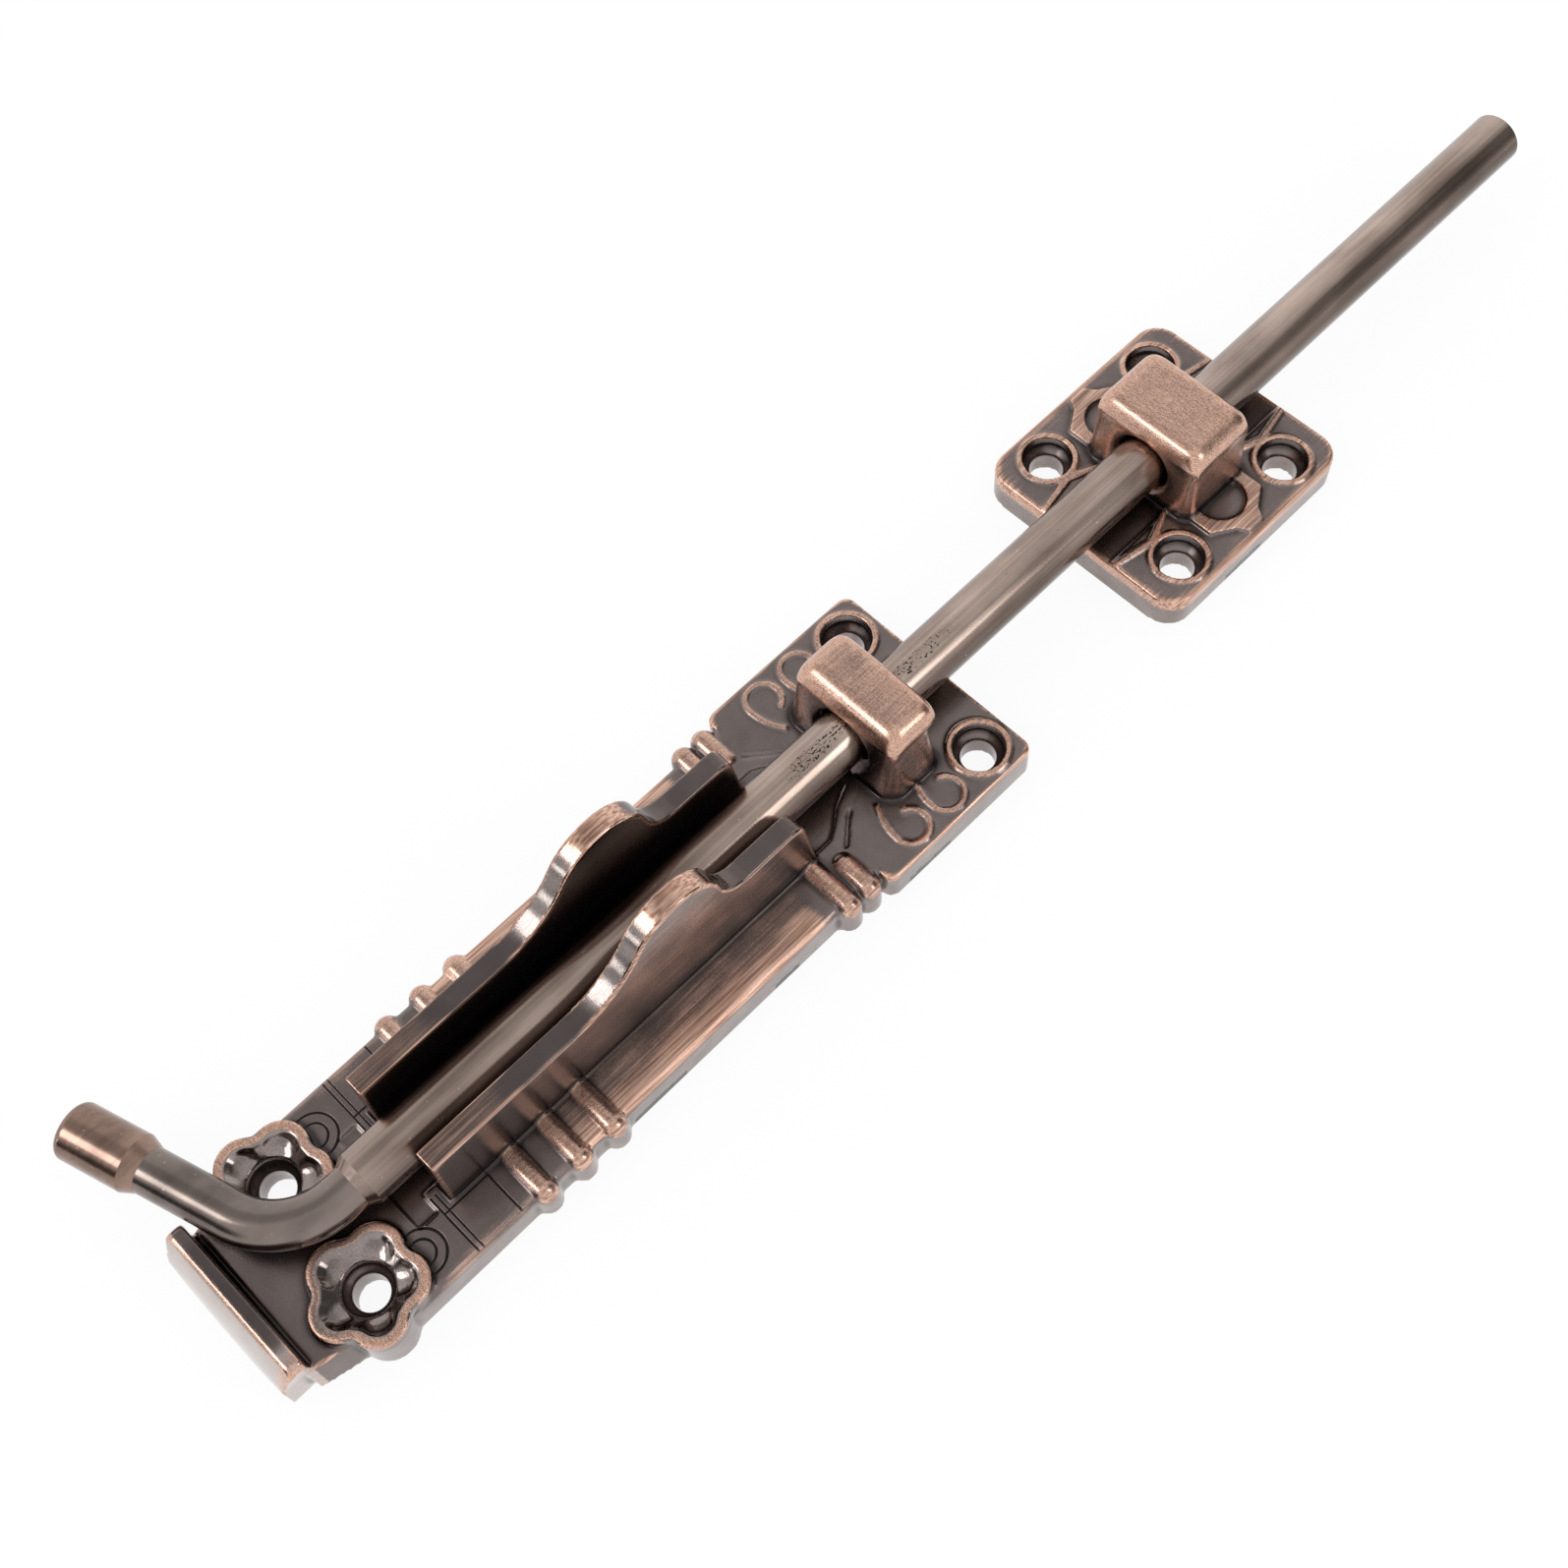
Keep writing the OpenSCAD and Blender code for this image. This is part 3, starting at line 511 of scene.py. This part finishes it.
# What a hand rubs: every edge and open place above the plate's foot, but where it stays plain.
touched = times(band(z, 0.0045, 0.006), less(times(stop_dark, 0.7)), less(star_dish),
                less(rail_plain))
rubbed = times(total(times(edges["Edge"], 0.5), times(edges["Open"], 0.3)), touched)
base_copper = most(times(relief_top, less(rail_top), less(on_star)), star_rim, rail_back, rail_hump,
                   rail_wall, cap, leg, panel, back_panel, stop_top, stop_end, rubbed)
base_plating = most(times(foot_wall, 0.42), times(stop, less(times(stop_dark, 0.85)), 0.7),
                    times(star_dish, 0.32), times(on_star, 0.22), rail_grey, times(leg, 0.6))

# The fine ornament cut into the field between each star and its rail: two arcs behind, three
# lines across and one along. Then the scars of four sprues on the -Y side.
arc_off_x, arc_off_y = calc("SUBTRACT", x, -0.124), calc("SUBTRACT", side, 0.0133)
arc_away = apart(arc_off_x, arc_off_y)
arcs = times(most(line(arc_away, 0.0039, 0.00032), line(arc_away, 0.0022, 0.0003)),
             band(arc_off_x, -0.0012, -0.0006), band(star_away, 0.0071, 0.0073))
cross_lines = times(most(line(x, -0.1087, 0.00024), line(x, -0.1176, 0.00024),
                         line(x, -0.1166, 0.0002)), between(side, 0.0075, 0.0197, 0.0003))
rail_line = times(line(side, 0.0112, 0.00024), between(x, -0.1176, -0.1087, 0.0002))
on_field = times(up, between(z, 0.0045, 0.00735, 0.0002))
sprue_spans = ((-0.150, -0.142), (-0.086, -0.074), (-0.054, -0.048), (-0.0245, -0.014))
scars = times(upright, band(y, -0.0175, -0.0185), sprue_scars(where, x, z, sprue_spans, 0.0034))
base_groove = most(times(most(arcs, cross_lines, rail_line), on_field), scars)

lay_finish(shader, "antique_copper", 0.5, 0.00004, Where=where, Copper=base_copper,
           Plating=base_plating, Groove=base_groove,
           Hollow=most(edges["Hollow"], dim_rail, dim_stop),
           Polish=most(rail_top, stop, star_dish, times(cap, 0.5), times(relief_top, 0.9)),
           Brush=times(less(cap), less(leg), less(stop), less(relief_top), less(on_star)))
base_piece.data.materials.clear()
base_piece.data.materials.append(base_metal)

# Keeper. A second casting of the same metal and plating, soft-edged in the same way. It is handled
# more, so its copper shows on the staple, the rings, the badges and all round the plate's edge.
keeper_x = 0.0676
keeper_cap_edges = ((0.059, -0.012, 0.0204), (0.076, 0.012, 0.025))
keeper_eased = (("staple", (0.052, -0.0155, 0.0085), (0.084, 0.0155, 0.03), 40),)
keeper_piece = soft_casting("keeper_casting", "keeper", keeper_cap_edges, (),
                            keeper_eased, 150000)
keeper_metal, shader, where = metal("keeper_antique_copper")
x, y, z, slope = measures(where)
side = calc("ABSOLUTE", y)
from_middle = calc("ABSOLUTE", calc("SUBTRACT", x, keeper_x))
up, upright = band(slope, 0.55, 0.92), band(slope, 0.55, 0.3)
edges = turns(shader.id_data)

relief_top = times(up, between(z, *relief_heights, 0.0003), 0.62)
# The rim runs round the plate at an even distance from the rectangle of its four corners' middles.
past_x = calc("MAXIMUM", calc("SUBTRACT", from_middle, 0.0191), 0.0)
past_y = calc("MAXIMUM", calc("SUBTRACT", side, 0.0177), 0.0)
outward = apart(past_x, past_y)
rim = times(band(z, 0.0035, 0.0055), total(times(band(outward, 0.0, 0.0042), 0.3),
                                           times(band(outward, 0.0036, 0.0046), 0.5)))
near_staple = times(band(from_middle, 0.0125, 0.0105), band(side, 0.0165, 0.0145))
cap = times(near_staple, band(z, 0.0198, 0.0206), total(0.68, times(edges["Open"], 0.3)))
leg = times(near_staple, between(z, 0.008, 0.022, 0.0015), 0.62)
rubbed = times(total(times(edges["Edge"], 0.5), times(edges["Open"], 0.45)),
               band(z, 0.0025, 0.0045))
foot_wall = times(upright, band(z, 0.0068, 0.0058), 0.4)
scars = times(upright, band(y, -0.0215, -0.022),
              sprue_scars(where, x, z, ((0.0585, 0.0688),), 0.0036))
# Every face that looks up gets a little copper: partly the patina's reddish tone, and partly a
# painted highlight that lightens the plate's fields.
lay_finish(shader, "antique_copper", 0.5, 0.00004, Where=where, Hollow=edges["Hollow"],
           Copper=most(relief_top, rim, cap, leg, rubbed, times(up, 0.13)),
           Plating=most(foot_wall, times(leg, 0.8)), Groove=scars, Polish=times(cap, 0.5),
           Brush=band(side, 0.0135, 0.0155))
keeper_piece.data.materials.clear()
keeper_piece.data.materials.append(keeper_metal)


# Bolt rod. Drawn steel bar, copper plated and brushed along its length. Dark pits run in a line
# along its top between the staples, and light specks lie scattered over its free end.
def dress(node, material):
    for material_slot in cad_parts[node].material_slots:
        material_slot.material = material


given, result = group("drawn_bar", {
    "Where": "Vector", "Light": "Color", "Dark": "Color", "Drawn": "Float", "Pits": "Float"},
    finish_results)
streak = noise(given["Where"], 1500, 4, (0.02, 1, 1))
cloud = noise(given["Where"], 110, 4, (0.4, 1, 1))
speck = noise(given["Where"], 1500, 2)
worm = noise(given["Where"], 2700, 3, (0.7, 1, 1), 0.4)
lightness = band(total(times(swing(streak, 0.6), given["Drawn"]), cloud), 0.25, 0.75)
pit = band(total(worm, times(given["Pits"], 0.22)), 0.77, 0.81)
shown = blend(lightness, given["Dark"], given["Light"])
shown = blend(pit, shown, (0.02, 0.014, 0.012, 1))
shown = blend(times(band(speck, 0.27, 0.23), 0.5), shown, (0.75, 0.68, 0.62, 1))
wire(shown, result["Color"])
wire(total(0.17, times(streak, 0.08)), result["Roughness"])
wire(total(times(streak, given["Drawn"], 0.4), times(pit, -3.0)), result["Height"])

axis_height = 0.0139
rod_metal, shader, where = metal("rod_antique_copper")
x, y, z, slope = measures(where)
crest = times(between(y, -0.0024, 0.0014, 0.001), band(z, axis_height, 0.015))
pitted = times(crest, between(x, -0.034, 0.046, 0.006), most(band(x, 0.03, -0.006), 0.35))
# Painted light and shade: the rod's colour is lighter where it faces up, as if lit from above, and
# darker on its flanks and underside. Behind x = -0.03 m, between the rails, its top gets only about
# half that light, a painted shade of the rails.
painted_top_light = times(band(slope, 0.4, 0.98), total(0.5, times(band(x, -0.05, -0.03), 0.45)))
light = blend(painted_top_light, (0.20, 0.145, 0.12, 1), (0.57, 0.443, 0.378, 1))
dark = blend(painted_top_light, (0.09, 0.063, 0.051, 1), (0.27, 0.198, 0.163, 1))
lay_finish(shader, "drawn_bar", 0.2, 0.00003, Where=where, Light=light, Dark=dark, Drawn=0.8,
           Pits=pitted)
dress("bolt_rod", rod_metal)

# Handle. The same drawn bar, thinner, bent over a former so that it lies flat beside the base, and
# set into the bolt's back end with a cone. It is darker and greyer than the bolt.
bar_metal, shader, where = metal("bar_antique_copper")
lay_finish(shader, "drawn_bar", 0.2, 0.00003, Where=where, Light=(0.25, 0.2, 0.178, 1),
           Dark=(0.105, 0.082, 0.072, 1), Drawn=0.1, Pits=0.0)
dress("handle_bar", bar_metal)

# Knob. The handle's thicker end, turned with a cone towards the bar and a rounded face. Fingers
# have rubbed it to a warmer, browner copper.
knob_metal, shader, where = metal("knob_antique_copper")
lay_finish(shader, "drawn_bar", 0.2, 0.00003, Where=where, Light=(0.36, 0.235, 0.185, 1),
           Dark=(0.14, 0.088, 0.068, 1), Drawn=0.35, Pits=0.0)
dress("handle_knob", knob_metal)
